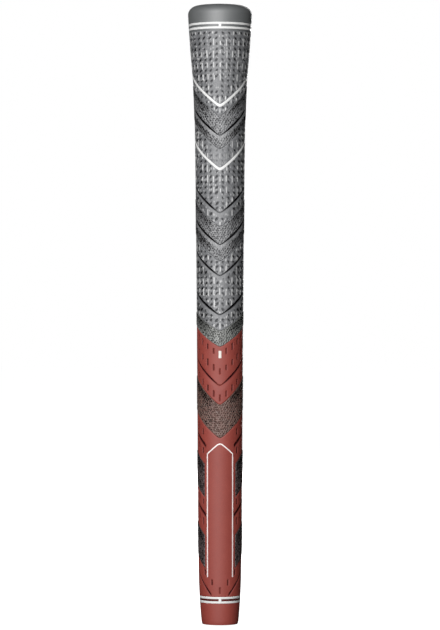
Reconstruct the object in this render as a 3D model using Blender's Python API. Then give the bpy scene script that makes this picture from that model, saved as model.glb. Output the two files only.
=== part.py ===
"""Golf grip: a tapered rubber sleeve for the butt end of a golf club's shaft.

A hard end cap and a soft core sleeve carry a skin of three compounds: corded rubber in the
upper half, plain rubber in the lower half, and chevron bands of dark mesh-textured rubber
between them. Painted rings, chevrons, a dash and a panel outline fill grooves in the skin.

Metres, with +Z towards the cap. The origin is the centre of the bore's mouth, and the panel
faces -Y. A level is the height of a chevron line where it points at the mouth, on the front
and on the back; each line rises from there to its peaks on the two sides.
"""

import math

import bmesh
import bpy

MM = 0.001

# Overall size
LENGTH = 270 * MM
OUTLINE = (  # height and radius of the skin, in millimetres, from the mouth to the cap's shoulder
    (0, 7.75),
    (1.5, 8.1),
    (9, 8.7),
    (20, 9.2),
    (45, 9.6),
    (100, 9.9),
    (150, 10.25),
    (190, 10.65),
    (220, 11.1),
    (234, 11.65),
    (250, 12.95),
    (259, 13.6),
    (265.5, 13.95),
)
SEGMENTS = 36  # a multiple of 4, so that every chevron has its points on vertices
ROW_SPACING = 12 * MM
LINING_ROW_SPACING = 24 * MM

# Bore: a 15.24 mm shaft butt, tapering towards the mouth
BORE_RADIUS_AT_MOUTH = 6.9 * MM
BORE_RADIUS_AT_BUTT = 7.62 * MM
BORE_DEPTH = 264 * MM

# End cap
CAP_BOTTOM = 257.8 * MM
SHOULDER_HEIGHT = 265.5 * MM
SHOULDER_WIDTH = 4.5 * MM
CROWN_RIM_HEIGHT = 269.4 * MM
VENT_RADIUS = 1.5 * MM
SHOULDER_STEPS = 6

# Core sleeve and the skin round it
CORE_BOTTOM = 20 * MM
SKIN_WALL_AT_MOUTH = 1.0 * MM
SKIN_WALL_AT_CAP = 1.6 * MM
GAP = 0.3 * MM
SEAM = 0.36 * MM  # the same gap where it is measured along the axis, across a sloping seam

# Chevrons: level and rise to the side peaks, in millimetres
RISES = (
    (12.9, 0),
    (18, 12.3),
    (80, 12.0),
    (104, 13.0),
    (121, 9.4),
    (128, 8.6),
    (136, 11.3),
    (198, 13.2),
    (226, 13.7),
    (257.8, 0),
)
CHEVRON_SHARPNESS = 0.985

# Seams between the pieces of the skin, as levels
UPPER_MESH = (206.5 * MM, 221.0 * MM)
MIDDLE_MESH = (158.0 * MM, 173.0 * MM)
BOUNDARY_MESH = (120.9 * MM, 127.8 * MM)
LOWER_MESH = (81.3 * MM, 95.8 * MM)
SIDE_MESH_UPPER = (49.5 * MM, 64.0 * MM)
SIDE_MESH_LOWER = (18.5 * MM, 33.0 * MM)
SIDE_MESH_START = math.radians(44)
SIDE_MESH_STEPS = 27  # odd, so that no edge of a window's cutter lies in a plane of the skin's own
MESH_PROUD = 0.15 * MM

# Open grooves in the skin, as levels
GROOVE_WIDTH = 1.2 * MM
GROOVE_DEPTH = 0.45 * MM
GROOVE_FULL_ANGLE = math.radians(50)
GROOVE_END_ANGLE = math.radians(78)
UPPER_MESH_GROOVE = 212.4 * MM
CORD_MIDDLE_GROOVE = 178.9 * MM
MIDDLE_MESH_GROOVE = 165.1 * MM
CORD_LOWER_GROOVES = (151.6 * MM, 134.7 * MM)
RUBBER_UPPER_GROOVE = 104.1 * MM
RUBBER_LOWER_GROOVES = (42.4 * MM, 72.7 * MM)
PANEL_CLEAR_ANGLE = math.radians(36)
PANEL_GROOVE_FULL_ANGLE = math.radians(44)

# Paint fills
PAINT_DEPTH = 0.35 * MM
RING_WIDTH = 0.75 * MM
CAP_RINGS = (258.8 * MM, 260.75 * MM)
MOUTH_RINGS = (10.0 * MM, 11.9 * MM)
TICK_WIDTH = 1.1 * MM
TICK_RECESS_GROWTH = 0.34 * MM  # a little over GAP, so that its floor is clear of the rings' own
CHEVRON_STRIPE_WIDTH = 1.3 * MM
CHEVRON_STRIPE_UPPER = 225.3 * MM
CHEVRON_STRIPE_LOWER = 197.8 * MM
DASH_WIDTH = 1.2 * MM
DASH_BOTTOM = 115.9 * MM
DASH_TOP = 119.1 * MM
PANEL_LINE_WIDTH = 0.7 * MM
PANEL_HALF_WIDTH = 5.8 * MM
PANEL_BOTTOM = 20.9 * MM
PANEL_CORNER = 74.4 * MM
PANEL_APEX = 79.3 * MM
PANEL_APEX_ROUNDING = 1.4 * MM

# Finish: base colour, roughness
FINISHES = {
    "cap_rubber": ((0.055, 0.060, 0.062), 0.62),
    "core_rubber": ((0.020, 0.020, 0.021), 0.85),
    "corded_rubber": ((0.130, 0.135, 0.145), 0.85),
    "mesh_rubber": ((0.040, 0.043, 0.045), 0.75),
    "red_rubber": ((0.270, 0.055, 0.055), 0.60),
    "white_paint": ((0.880, 0.870, 0.860), 0.45),
}


def clear_scene():
    for thing in list(bpy.data.objects):
        bpy.data.objects.remove(thing, do_unlink=True)


def make_material(name, finish):
    colour, roughness = FINISHES[finish]
    material = bpy.data.materials.new(name)
    material.use_nodes = True
    shader = material.node_tree.nodes["Principled BSDF"]
    shader.inputs["Base Color"].default_value = (*colour, 1)
    shader.inputs["Roughness"].default_value = roughness
    shader.inputs["Metallic"].default_value = 0
    return material


def add_object(name, mesh_maker, finish=None):
    """A new object from a filled bmesh. Without a finish it is a cutter, which stays hidden.

    Triangles keep every face flat, which a Boolean needs for a clean cut.
    """
    bmesh.ops.recalc_face_normals(mesh_maker, faces=mesh_maker.faces)
    bmesh.ops.triangulate(mesh_maker, faces=mesh_maker.faces)
    mesh = bpy.data.meshes.new(name)
    mesh_maker.to_mesh(mesh)
    mesh_maker.free()
    piece = bpy.data.objects.new(name, mesh)
    bpy.context.collection.objects.link(piece)
    if finish is None:
        piece.hide_render = True
        piece.display_type = "WIRE"
    else:
        mesh.materials.append(make_material(name, finish))
        mesh.shade_smooth()
        mesh.set_sharp_from_angle(angle=math.radians(40))
    return piece


def cut(piece, cutter):
    change = piece.modifiers.new(cutter.name, "BOOLEAN")
    change.operation = "DIFFERENCE"
    change.solver = "EXACT"
    change.object = cutter


def hermite(points, x):
    """A smooth curve through (x, value) points, held level beyond its ends."""
    if x <= points[0][0]:
        return points[0][1]
    if x >= points[-1][0]:
        return points[-1][1]

    def slope(i):
        before, after = points[max(i - 1, 0)], points[min(i + 1, len(points) - 1)]
        return (after[1] - before[1]) / (after[0] - before[0])

    i = max(k for k in range(len(points) - 1) if points[k][0] <= x)
    width = points[i + 1][0] - points[i][0]
    t = (x - points[i][0]) / width
    start = points[i][1] * (1 + 2 * t) + slope(i) * width * t
    end = points[i + 1][1] * (3 - 2 * t) - slope(i + 1) * width * (1 - t)
    return start * (1 - t) ** 2 + end * t**2


def linear(points, x):
    """Straight lines through (x, value) points, held level beyond the ends."""
    if x <= points[0][0]:
        return points[0][1]
    for (x0, y0), (x1, y1) in zip(points, points[1:]):
        if x <= x1:
            return y0 + (y1 - y0) * (x - x0) / (x1 - x0)
    return points[-1][1]


def outer_radius(z):
    return hermite(OUTLINE, z / MM) * MM


def bore_radius(z):
    share = z / BORE_DEPTH
    return BORE_RADIUS_AT_MOUTH + (BORE_RADIUS_AT_BUTT - BORE_RADIUS_AT_MOUTH) * share


def lining_radius(z):
    """The inside of the skin."""
    share = z / LENGTH
    wall = SKIN_WALL_AT_MOUTH + (SKIN_WALL_AT_CAP - SKIN_WALL_AT_MOUTH) * share
    return outer_radius(z) - wall


def chevron(angle):
    """0 on the front and back, 1 on the sides, with straight arms and rounded points."""
    wave = math.asin(CHEVRON_SHARPNESS * math.cos(2 * angle))
    return 0.5 - 0.5 * wave / math.asin(CHEVRON_SHARPNESS)


def chevron_height(level, angle):
    return level + linear(RISES, level / MM) * MM * chevron(angle)


def ramp(value, start, end):
    """0 at start, 1 at end and a straight line between them."""
    return min(max((value - start) / (end - start), 0), 1)


def open_share(angle):
    """1 across the front and back, and 0 on the sides, where an open groove runs out."""
    from_middle = abs(math.remainder(angle, math.pi))
    return ramp(from_middle, GROOVE_END_ANGLE, GROOVE_FULL_ANGLE)


def beside_panel_share(angle):
    """The same for a groove that leaves the front panel clear."""
    from_front = abs(math.remainder(angle, 2 * math.pi))
    return open_share(angle) * ramp(from_front, PANEL_CLEAR_ANGLE, PANEL_GROOVE_FULL_ANGLE)


def everywhere(angle):
    return 1


def skin_point(level, inset=0.0, share=everywhere):
    """A point of a section that lies inset under the skin, on the chevron line at level."""

    def at(angle):
        z = chevron_height(level, angle)
        return outer_radius(z) - inset * share(angle), z

    return at


def lining_point(level, inset=0.0):
    def at(angle):
        z = chevron_height(level, angle)
        return lining_radius(z) - inset, z

    return at


def fixed_point(radius, z):
    return lambda angle: (radius, z)


def place(radius, z, angle):
    """The angle is counted from the front, which faces -Y, towards +X."""
    return (radius * math.sin(angle), -radius * math.cos(angle), z)


def full_circle():
    return [2 * math.pi * i / SEGMENTS for i in range(SEGMENTS)]


def sweep(section, angles, closed=True):
    """Carries a closed section round the axis. An open sweep is capped at both ends."""
    shape = bmesh.new()
    rings = [[shape.verts.new(place(*at(a), a)) for at in section] for a in angles]
    pairs = list(zip(rings, rings[1:]))
    if closed:
        pairs.append((rings[-1], rings[0]))
    else:
        shape.faces.new(rings[0])
        shape.faces.new(rings[-1])
    for here, there in pairs:
        for i in range(len(section)):
            shape.faces.new((here[i], here[i - 1], there[i - 1], there[i]))
    return shape


def levels_between(low, high, spacing=ROW_SPACING):
    count = max(1, round((high - low) / spacing))
    return [low + (high - low) * i / count for i in range(count + 1)]


def groove_points(level, share, proud=0.0):
    half = GROOVE_WIDTH / 2
    return [
        skin_point(level - half, -proud),
        skin_point(level, GROOVE_DEPTH, share),
        skin_point(level + half, -proud),
    ]


def skin_section(low, high, open_grooves=(), fills=(), proud=0.0):
    """The closed section of a piece of the skin between two levels."""
    features = []
    for level in open_grooves:
        points = groove_points(level, open_share, proud)
        features.append((level - GROOVE_WIDTH / 2, level + GROOVE_WIDTH / 2, points))
    for level, width in fills:
        half = width / 2 + SEAM
        depth = PAINT_DEPTH + GAP
        points = [
            skin_point(level - half),
            skin_point(level - half, depth),
            skin_point(level + half, depth),
            skin_point(level + half),
        ]
        features.append((level - half, level + half, points))
    clear = [
        level
        for level in levels_between(low, high)
        if not any(start - 2 * MM < level < end + 2 * MM for start, end, _ in features)
        or level in (low, high)
    ]
    rows = [(level, [skin_point(level, -proud)]) for level in clear]
    rows += [(start, points) for start, _, points in features]
    outer = [at for _, points in sorted(rows, key=lambda row: row[0]) for at in points]
    inner = levels_between(low, high, LINING_ROW_SPACING)
    return outer + [lining_point(level) for level in reversed(inner)]


def skin_piece(name, finish, low, high, **features):
    section = skin_section(low + SEAM / 2, high - SEAM / 2, **features)
    return add_object(name, sweep(section, full_circle()), finish)


def strip_along(path, width, grow=0.0):
    """A band of paint that follows a path of (distance round from the front, height) points.

    Its recess's cutter is the same band, grown on every side.
    """
    shape = bmesh.new()
    half, floor = width / 2 + grow, PAINT_DEPTH + grow
    rings = []
    for i, (u, z) in enumerate(path):
        before, after = path[max(i - 1, 0)], path[min(i + 1, len(path) - 1)]
        run_u, run_z = after[0] - before[0], after[1] - before[1]
        length = math.hypot(run_u, run_z)
        across_u, across_z = run_z / length * half, -run_u / length * half
        if i in (0, len(path) - 1):
            forward = grow if i else -grow
            u += run_u / length * forward
            z += run_z / length * forward
        ring = []
        for side, depth in ((-1, -grow), (1, -grow), (1, floor), (-1, floor)):
            point_u, point_z = u + side * across_u, z + side * across_z
            surface = outer_radius(point_z)
            angle = point_u / surface
            ring.append(shape.verts.new(place(surface - depth, point_z, angle)))
        rings.append(ring)
    for here, there in zip(rings, rings[1:]):
        for i in range(4):
            shape.faces.new((here[i], here[i - 1], there[i - 1], there[i]))
    shape.faces.new(rings[0])
    shape.faces.new(rings[-1])
    return shape


def add_strip(name, path, width, host):
    """A painted strip, with the recess that it fills cut from its host."""
    add_object(name, strip_along(path, width), "white_paint")
    cut(host, add_object(name + "_recess", strip_along(path, width, grow=GAP)))


def make_end_cap():
    """The cap: a thick ring round the shaft's butt, closed by a domed crown with a vent."""
    outer = [fixed_point(outer_radius(CAP_BOTTOM), CAP_BOTTOM)]
    for level in CAP_RINGS:
        half = RING_WIDTH / 2 + GAP
        for z, inset in ((-half, 0), (-half, 1), (half, 1), (half, 0)):
            radius = outer_radius(level + z) - inset * (PAINT_DEPTH + GAP)
            outer.append(fixed_point(radius, level + z))
    top_radius = outer_radius(SHOULDER_HEIGHT)
    for i in range(SHOULDER_STEPS + 1):
        turn = math.pi / 2 * i / SHOULDER_STEPS
        radius = top_radius - SHOULDER_WIDTH * (1 - math.cos(turn))
        z = SHOULDER_HEIGHT + (CROWN_RIM_HEIGHT - SHOULDER_HEIGHT) * math.sin(turn)
        outer.append(fixed_point(radius, z))
    outer.append(fixed_point((top_radius - SHOULDER_WIDTH) / 2, LENGTH - 0.1 * MM))
    inner = [
        fixed_point(VENT_RADIUS, LENGTH),
        fixed_point(VENT_RADIUS, BORE_DEPTH),
        fixed_point(bore_radius(BORE_DEPTH), BORE_DEPTH),
        fixed_point(bore_radius(CAP_BOTTOM), CAP_BOTTOM),
    ]
    return add_object("end_cap", sweep(outer + inner, full_circle()), "cap_rubber")


def make_core_sleeve():
    """The soft inner body, whose bore grips the shaft."""
    top = CAP_BOTTOM - GAP
    heights = levels_between(CORE_BOTTOM, top, LINING_ROW_SPACING)
    outer = [fixed_point(lining_radius(z) - GAP, z) for z in heights]
    inner = [fixed_point(bore_radius(z), z) for z in (top, CORE_BOTTOM)]
    section = outer + inner
    return add_object("core_sleeve", sweep(section, full_circle()), "core_rubber")


def make_cord_sections():
    skin_piece(
        "cord_section_upper",
        "corded_rubber",
        UPPER_MESH[1],
        CAP_BOTTOM - GAP + SEAM / 2,
        fills=[(CHEVRON_STRIPE_UPPER, CHEVRON_STRIPE_WIDTH)],
    )
    skin_piece(
        "cord_section_middle",
        "corded_rubber",
        MIDDLE_MESH[1],
        UPPER_MESH[0],
        open_grooves=[CORD_MIDDLE_GROOVE],
        fills=[(CHEVRON_STRIPE_LOWER, CHEVRON_STRIPE_WIDTH)],
    )
    skin_piece(
        "cord_section_lower",
        "corded_rubber",
        BOUNDARY_MESH[1],
        MIDDLE_MESH[0],
        open_grooves=CORD_LOWER_GROOVES,
    )


def make_mesh_bands():
    """The four bands of dark mesh-textured rubber that run right round."""
    for name, span, grooves in (
        ("mesh_band_upper", UPPER_MESH, [UPPER_MESH_GROOVE]),
        ("mesh_band_middle", MIDDLE_MESH, [MIDDLE_MESH_GROOVE]),
        ("mesh_band_boundary", BOUNDARY_MESH, []),
        ("mesh_band_lower", LOWER_MESH, []),
    ):
        skin_piece(name, "mesh_rubber", *span, open_grooves=grooves, proud=MESH_PROUD)


def make_rubber_section_upper():
    section = skin_piece(
        "rubber_section_upper",
        "red_rubber",
        LOWER_MESH[1],
        BOUNDARY_MESH[0],
        open_grooves=[RUBBER_UPPER_GROOVE],
    )
    add_strip("alignment_dash", [(0, DASH_BOTTOM), (0, DASH_TOP)], DASH_WIDTH, section)


def side_inlay_shape(low, high, start, grow=0.0):
    """A mesh inlay between two levels, or its window's cutter when grown.

    It runs from start, an angle to one side of the front, round the back to the other side.
    """
    levels = levels_between(low - grow, high + grow)
    outer = [skin_point(level, -MESH_PROUD - 2 * grow) for level in levels]
    inner = [lining_point(level, grow / 2) for level in reversed(levels)]
    step = 2 * (math.pi - start) / SIDE_MESH_STEPS
    angles = [start + step * i for i in range(SIDE_MESH_STEPS + 1)]
    return sweep(outer + inner, angles, closed=False)


def make_side_inlay(name, span, host):
    """A mesh band that runs round the back and sides, and leaves the front panel clear."""
    add_object(name, side_inlay_shape(*span, SIDE_MESH_START), "mesh_rubber")
    window_start = SIDE_MESH_START - GAP / outer_radius(span[0])
    window = side_inlay_shape(*span, window_start, grow=SEAM)
    cut(host, add_object(name + "_window", window))


def mouth_section():
    """The lower rubber section: a thick skirt at the mouth, then a skin over the core sleeve."""
    step = CORE_BOTTOM - GAP
    outer = [fixed_point(outer_radius(z * MM), z * MM) for z in (0, 0.4, 1.5, 5)]
    for level in MOUTH_RINGS:
        half = RING_WIDTH / 2 + GAP
        for z, inset in ((-half, 0), (-half, 1), (half, 1), (half, 0)):
            radius = outer_radius(level + z) - inset * (PAINT_DEPTH + GAP)
            outer.append(fixed_point(radius, level + z))
    top = LOWER_MESH[0] - SEAM / 2
    start = RISES[1][0] * MM
    for groove in RUBBER_LOWER_GROOVES:
        end = groove - ROW_SPACING / 2
        outer += [skin_point(level) for level in levels_between(start, end)]
        outer += groove_points(groove, beside_panel_share)
        start = groove + ROW_SPACING / 2
    outer += [skin_point(level) for level in levels_between(start, top)]
    lining_levels = levels_between(CORE_BOTTOM + GAP, top, LINING_ROW_SPACING)
    lining = [lining_point(level) for level in reversed(lining_levels)]
    inner = [
        fixed_point(lining_radius(step), step),
        fixed_point(bore_radius(step), step),
        fixed_point(bore_radius(0), 0),
    ]
    return outer + lining + inner


def panel_path():
    """Up one side, over the rounded apex and down the other side."""
    rounding = []
    slope = (PANEL_APEX - PANEL_CORNER) / PANEL_HALF_WIDTH
    for share in (-1, -0.5, 0, 0.5, 1):
        u = PANEL_APEX_ROUNDING * share
        drop = slope * PANEL_APEX_ROUNDING * (1 + share**2) / 2
        rounding.append((u, PANEL_APEX - drop))
    count = round((PANEL_CORNER - PANEL_BOTTOM) / ROW_SPACING)
    rise = (PANEL_CORNER - PANEL_BOTTOM) / count
    side = [(PANEL_HALF_WIDTH, PANEL_BOTTOM + rise * i) for i in range(count + 1)]
    left = [(-u, z) for u, z in side]
    return left + rounding + side[::-1]


def make_rubber_section_lower():
    shape = sweep(mouth_section(), full_circle())
    section = add_object("rubber_section_lower", shape, "red_rubber")
    make_side_inlay("side_inlay_upper", SIDE_MESH_UPPER, section)
    make_side_inlay("side_inlay_lower", SIDE_MESH_LOWER, section)
    add_strip("panel_outline", panel_path(), PANEL_LINE_WIDTH, section)
    return section


def paint_shell(angles, heights, filled):
    """A closed film of paint over the cells of a grid on the skin.

    filled(column, row) says whether the cell that starts at that angle and height holds paint.
    """
    shape = bmesh.new()
    columns, rows = len(angles), len(heights) - 1
    layers = []
    for depth in (0, PAINT_DEPTH):
        layers.append(
            [
                [shape.verts.new(place(outer_radius(z) - depth, z, angle)) for z in heights]
                for angle in angles
            ]
        )
    outer, inner = layers
    for i in range(columns):
        after = (i + 1) % columns
        for j in range(rows):
            if not filled(i, j):
                continue
            for layer in layers:
                corners = (layer[i][j], layer[after][j], layer[after][j + 1], layer[i][j + 1])
                shape.faces.new(corners)
            if j == 0 or not filled(i, j - 1):
                shape.faces.new((outer[i][j], outer[after][j], inner[after][j], inner[i][j]))
            if j == rows - 1 or not filled(i, j + 1):
                top = j + 1
                shape.faces.new((outer[i][top], outer[after][top], inner[after][top], inner[i][top]))
            if not filled((i - 1) % columns, j):
                shape.faces.new((outer[i][j], outer[i][j + 1], inner[i][j + 1], inner[i][j]))
            if not filled(after, j):
                end = (outer[after][j], outer[after][j + 1], inner[after][j + 1], inner[after][j])
                shape.faces.new(end)
    for vert in [vert for vert in shape.verts if not vert.link_faces]:
        shape.verts.remove(vert)
    return shape


def make_ring_pair(name, heights, host):
    """Two painted rings that a short tick joins at the front, as one film of paint."""
    half = RING_WIDTH / 2
    edges = [heights[0] - half, heights[0] + half, heights[1] - half, heights[1] + half]
    tick_turn = TICK_WIDTH / 2 / outer_radius(heights[0])
    angles = sorted([-tick_turn, tick_turn] + full_circle()[1:])

    def filled(column, row):
        return row != 1 or column == 0

    add_object(name, paint_shell(angles, edges, filled), "white_paint")
    path = [(0, edges[1]), (0, edges[2])]
    recess = strip_along(path, TICK_WIDTH, grow=TICK_RECESS_GROWTH)
    cut(host, add_object(name + "_tick_recess", recess))


def make_chevron_stripes():
    for name, level in (
        ("chevron_stripe_upper", CHEVRON_STRIPE_UPPER),
        ("chevron_stripe_lower", CHEVRON_STRIPE_LOWER),
    ):
        low, high = level - CHEVRON_STRIPE_WIDTH / 2, level + CHEVRON_STRIPE_WIDTH / 2
        section = [
            skin_point(low),
            skin_point(high),
            skin_point(high, PAINT_DEPTH),
            skin_point(low, PAINT_DEPTH),
        ]
        add_object(name, sweep(section, full_circle()), "white_paint")


clear_scene()
end_cap = make_end_cap()
make_core_sleeve()
make_cord_sections()
make_mesh_bands()
make_rubber_section_upper()
rubber_section_lower = make_rubber_section_lower()
make_chevron_stripes()
make_ring_pair("cap_rings", CAP_RINGS, end_cap)
make_ring_pair("mouth_rings", MOUTH_RINGS, rubber_section_lower)
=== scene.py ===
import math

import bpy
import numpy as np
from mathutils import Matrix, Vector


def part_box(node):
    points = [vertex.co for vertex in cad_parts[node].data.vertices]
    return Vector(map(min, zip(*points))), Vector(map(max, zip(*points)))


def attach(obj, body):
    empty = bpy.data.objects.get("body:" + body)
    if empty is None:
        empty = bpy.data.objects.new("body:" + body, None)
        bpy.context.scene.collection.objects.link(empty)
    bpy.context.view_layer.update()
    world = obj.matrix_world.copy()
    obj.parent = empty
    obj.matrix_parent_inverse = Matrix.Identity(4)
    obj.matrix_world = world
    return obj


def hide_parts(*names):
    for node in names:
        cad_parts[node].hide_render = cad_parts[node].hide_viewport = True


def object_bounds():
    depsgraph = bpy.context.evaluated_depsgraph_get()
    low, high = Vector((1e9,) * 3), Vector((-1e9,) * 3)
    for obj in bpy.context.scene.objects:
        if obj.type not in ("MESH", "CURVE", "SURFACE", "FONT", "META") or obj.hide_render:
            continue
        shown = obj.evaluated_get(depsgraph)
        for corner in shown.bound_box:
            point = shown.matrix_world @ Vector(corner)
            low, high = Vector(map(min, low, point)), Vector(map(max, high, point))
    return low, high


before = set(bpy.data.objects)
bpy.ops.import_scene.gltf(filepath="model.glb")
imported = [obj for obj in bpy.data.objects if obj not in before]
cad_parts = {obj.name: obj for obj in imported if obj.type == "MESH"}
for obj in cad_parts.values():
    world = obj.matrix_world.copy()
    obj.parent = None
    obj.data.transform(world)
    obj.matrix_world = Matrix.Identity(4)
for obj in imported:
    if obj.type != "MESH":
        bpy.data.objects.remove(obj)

# Looks of the golf grip: a finely moulded skin of corded, plain and mesh-textured rubber with
# painted rings, chevrons, dash and panel line, a smooth end cap and a black core, built round
# the fixed CAD frame. Metres, +Z towards the cap, with the panel facing -Y. A level is the
# height of a chevron line on the front and back, and it rises from there to both sides.

cad_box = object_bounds()

MM = 0.001
FULL_TURN = 2 * math.pi

# ---------------------------------------------------------------- shape shared with the CAD
OUTLINE = (  # height and radius of the skin, in millimetres
    (0, 7.75),
    (1.5, 8.1),
    (9, 8.7),
    (20, 9.2),
    (45, 9.6),
    (100, 9.9),
    (150, 10.25),
    (190, 10.65),
    (220, 11.1),
    (234, 11.65),
    (250, 12.95),
    (259, 13.6),
    (265.5, 13.95),
)
RISES = (  # level of a chevron line and its rise to the side peaks, in millimetres
    (12.9, 0),
    (18, 12.3),
    (80, 12.0),
    (104, 13.0),
    (121, 9.4),
    (128, 8.6),
    (136, 11.3),
    (198, 13.2),
    (226, 13.7),
    (257.8, 0),
)
SKIN = (  # from the mouth up, and what the last one meets
    "rubber_section_lower",
    "mesh_band_lower",
    "rubber_section_upper",
    "mesh_band_boundary",
    "cord_section_lower",
    "mesh_band_middle",
    "cord_section_middle",
    "mesh_band_upper",
    "cord_section_upper",
    "end_cap",
)
CAP = "end_cap"
CORE = "core_sleeve"
DASH = "alignment_dash"
PANEL = "panel_outline"
CHEVRON_SHARPNESS = 0.985
SEAM = 0.36 * MM
SKIN_WALL_AT_MOUTH = 1.0 * MM
SKIN_WALL_AT_CAP = 1.6 * MM
CORE_GAP = 0.3 * MM
BORE_RADIUS_AT_MOUTH = 6.9 * MM
BORE_RADIUS_AT_BUTT = 7.62 * MM
BORE_DEPTH = 264 * MM
SHOULDER_HEIGHT = 265.5 * MM
SHOULDER_WIDTH = 4.5 * MM
CROWN_RIM_HEIGHT = 269.4 * MM
VENT_RADIUS = 1.5 * MM

# ------------------------------------------------------------------------ how fine meshes are
COLUMNS = 400
ROW_SPACING = 0.22 * MM
MESH_BAND_ROW_SPACING = 0.17 * MM
RUBBER_COLUMNS = 296
RUBBER_ROW_SPACING = 0.38 * MM
MOUTH_GROOVE_ROW_SPACING = 0.15 * MM
CORE_COLUMNS = 96
CORE_ROWS = 60
CAP_COLUMNS = 200
CAP_EDGE_POINTS = 7
CAP_SIDE_POINTS = 8
CAP_SHOULDER_POINTS = 24
CAP_CROWN_POINTS = 12
PAINT_SECTION_POINTS = 7
PANEL_ROOF_POINTS = 61
CRISP_EDGE = 0.06 * MM
SHARP_ANGLE = math.radians(65)

# -------------------------------------------------------------------------- moulded features
SEAM_CLEARANCE = 0.02 * MM
SEAM_ROUNDING = 0.14 * MM
SEAM_ROUNDING_WIDTH = 0.22 * MM
CAP_EDGE = 0.15 * MM
CAP_RING_MARGIN = 0.5 * MM
VENT_EDGE = 0.3 * MM

# Each pair is the height and the size of the slow waves in a moulded surface.
CORD_SWELL = (0.03 * MM, 5 * MM)
MESH_SWELL = (0.02 * MM, 6 * MM)
RUBBER_SWELL = (0.025 * MM, 8 * MM)
SEEDS = {
    "mesh_swell": 5,
    "mesh_pits": 9,
    "rubber_swell": 11,
    "rubber_section_upper": 21,
    "rubber_section_lower": 22,
    "mouth_slits": 23,
}
DRAWN_ROWS = 199  # rows of cells before what is drawn for them repeats

GROOVE_WIDTH = 1.6 * MM
GROOVE_WIDTH_AT_POINT = 0.6 * MM
GROOVE_WIDTH_BY_PANEL = 2.0 * MM
GROOVE_DEPTH = 0.7 * MM
GROOVE_SHARPNESS = 1.2
GROOVE_WIDENING_ANGLE = math.radians(32)
GROOVE_BEVEL = 2.5 * MM
GROOVE_BEVEL_DEPTH = 0.2 * MM
BEVEL_BARE_SHARES = (0.05, 0.3)  # the texture ends between these shares of the bevel's depth
GROOVE_FULL_ANGLE = math.radians(62)
GROOVE_END_ANGLE = math.radians(85)
GROOVES = {
    "mesh_band_upper": (212.4 * MM,),
    "cord_section_middle": (178.9 * MM,),
    "mesh_band_middle": (165.1 * MM,),
    "cord_section_lower": (151.6 * MM, 134.7 * MM),
    "rubber_section_upper": (104.1 * MM,),
    "rubber_section_lower": (42.4 * MM, 72.7 * MM),
}
MOUTH_GROOVE = 9.1 * MM  # where its line would cross the front
MOUTH_RISE = 15.8 * MM
MOUTH_GROOVE_LEVELS = (12.9 * MM, 17.2 * MM)  # the skin's rows between which that groove runs
MOUTH_GROOVE_START = math.radians(23)
MOUTH_GROOVE_FULL = math.radians(29)

CORD_COLUMNS = {"cord_section_lower": 24, "cord_section_middle": 24, "cord_section_upper": 28}
CORD_PITCH = 2.3 * MM
CORD_PIT_DEPTH = 0.8 * MM
CORD_PIT_LENGTH = 0.7 * MM
CORD_PIT_WIDTH = 0.3 * MM
CORD_PIT_LEAN = math.radians(42)
CORD_PIT_SCATTER = (0.16, 0.14)  # across and up, in cells
CORD_PIT_SIZES = (0.75, 0.4)  # least and spread
CORD_PIT_MISSING = 0.07
MISSING_SIZE = 0.05  # too small to see
THREAD_PROUD = 0.2 * MM
THREAD_PITCH = 4.9 * MM
THREADS = (0.85, 0.36 * MM, 3.8 * MM, 0.12)  # share of cells, width, longest, scatter in cells
THREAD_LENGTHS = (0.5, 0.5)  # least and spread, of the longest
THREAD_STRENGTHS = (0.7, 0.3)  # least and spread
THREAD_TAPER = 0.7  # share of its half length at which a thread starts to fade
THREAD_PATCHINESS = 0.45
THREAD_PATCH_SIZE = 4 * MM
STRAY_PITCH = 1.9 * MM
STRAYS = (0.35, 0.26 * MM, 1.2 * MM, 0.6)
STRAY_STRENGTH = 0.7
STRAYS_PER_COLUMN = 3
# Each pair is how far from a line the texture starts and how far away it is full.
CORD_EDGE_MARGIN = (0.3 * MM, 0.9 * MM)
CORD_GROOVE_MARGIN = (0.4 * MM, 0.9 * MM)
CORD_STRIPE_MARGIN = (0.7 * MM, 1.2 * MM)
MESH_EDGE_MARGIN = (0.2 * MM, 0.5 * MM)
MESH_GROOVE_MARGIN = (0.45 * MM, 0.7 * MM)
MESH_END_MARGIN = (0.2 * MM, 0.6 * MM)

# Painted shadow in wings below the top edge of each band and under each groove's bevel, growing
# towards the sides
WING_START_ANGLE = math.radians(10)
WING_FULL_ANGLE = math.radians(40)
WING_HEIGHT = 6 * MM
MESH_WING_SHADOW = 0.5
CORD_WING_SHADOW = 0.25
# Painted shade in pits and grooves: how strong it is, its share on the front and back, where the
# front light reaches in, and the turn over which it grows to full towards the sides
PIT_SHADE_GAIN = 1.4
PIT_SHADE_LIMIT = 1.2
PIT_SHADE_AT_FRONT = 0.32
PIT_SHADE_ANGLE = math.radians(50)
GROOVE_SHADE_GAIN = 2.2
GROOVE_SHADE_AT_POINT = 0.3
GROOVE_SHADE_ANGLE = math.radians(22)
BARE_HEIGHT = {"cord_section_middle": 11 * MM}  # below the upper seam, on the front and back
BARE_FADE_HEIGHT = 4 * MM
BARE_STRENGTH = 0.65  # the share of the texture that is missing there
BARE_FULL_ANGLE = math.radians(15)
BARE_END_ANGLE = math.radians(40)

MESH_PROUD = 0.15 * MM
MESH_SLOPE = 0.35 * MM  # from the edge of a band up to its face
MESH_COLUMNS = 58
MESH_PITCH = 0.88 * MM
MESH_PIT_DEPTH = 0.45 * MM
MESH_PIT_LENGTH = 0.36 * MM
MESH_PIT_WIDTH = 0.29 * MM
MESH_PIT_SCATTER = 0.5  # in cells
MESH_PIT_SIZES = (0.42, 0.7)  # least and spread

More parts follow.
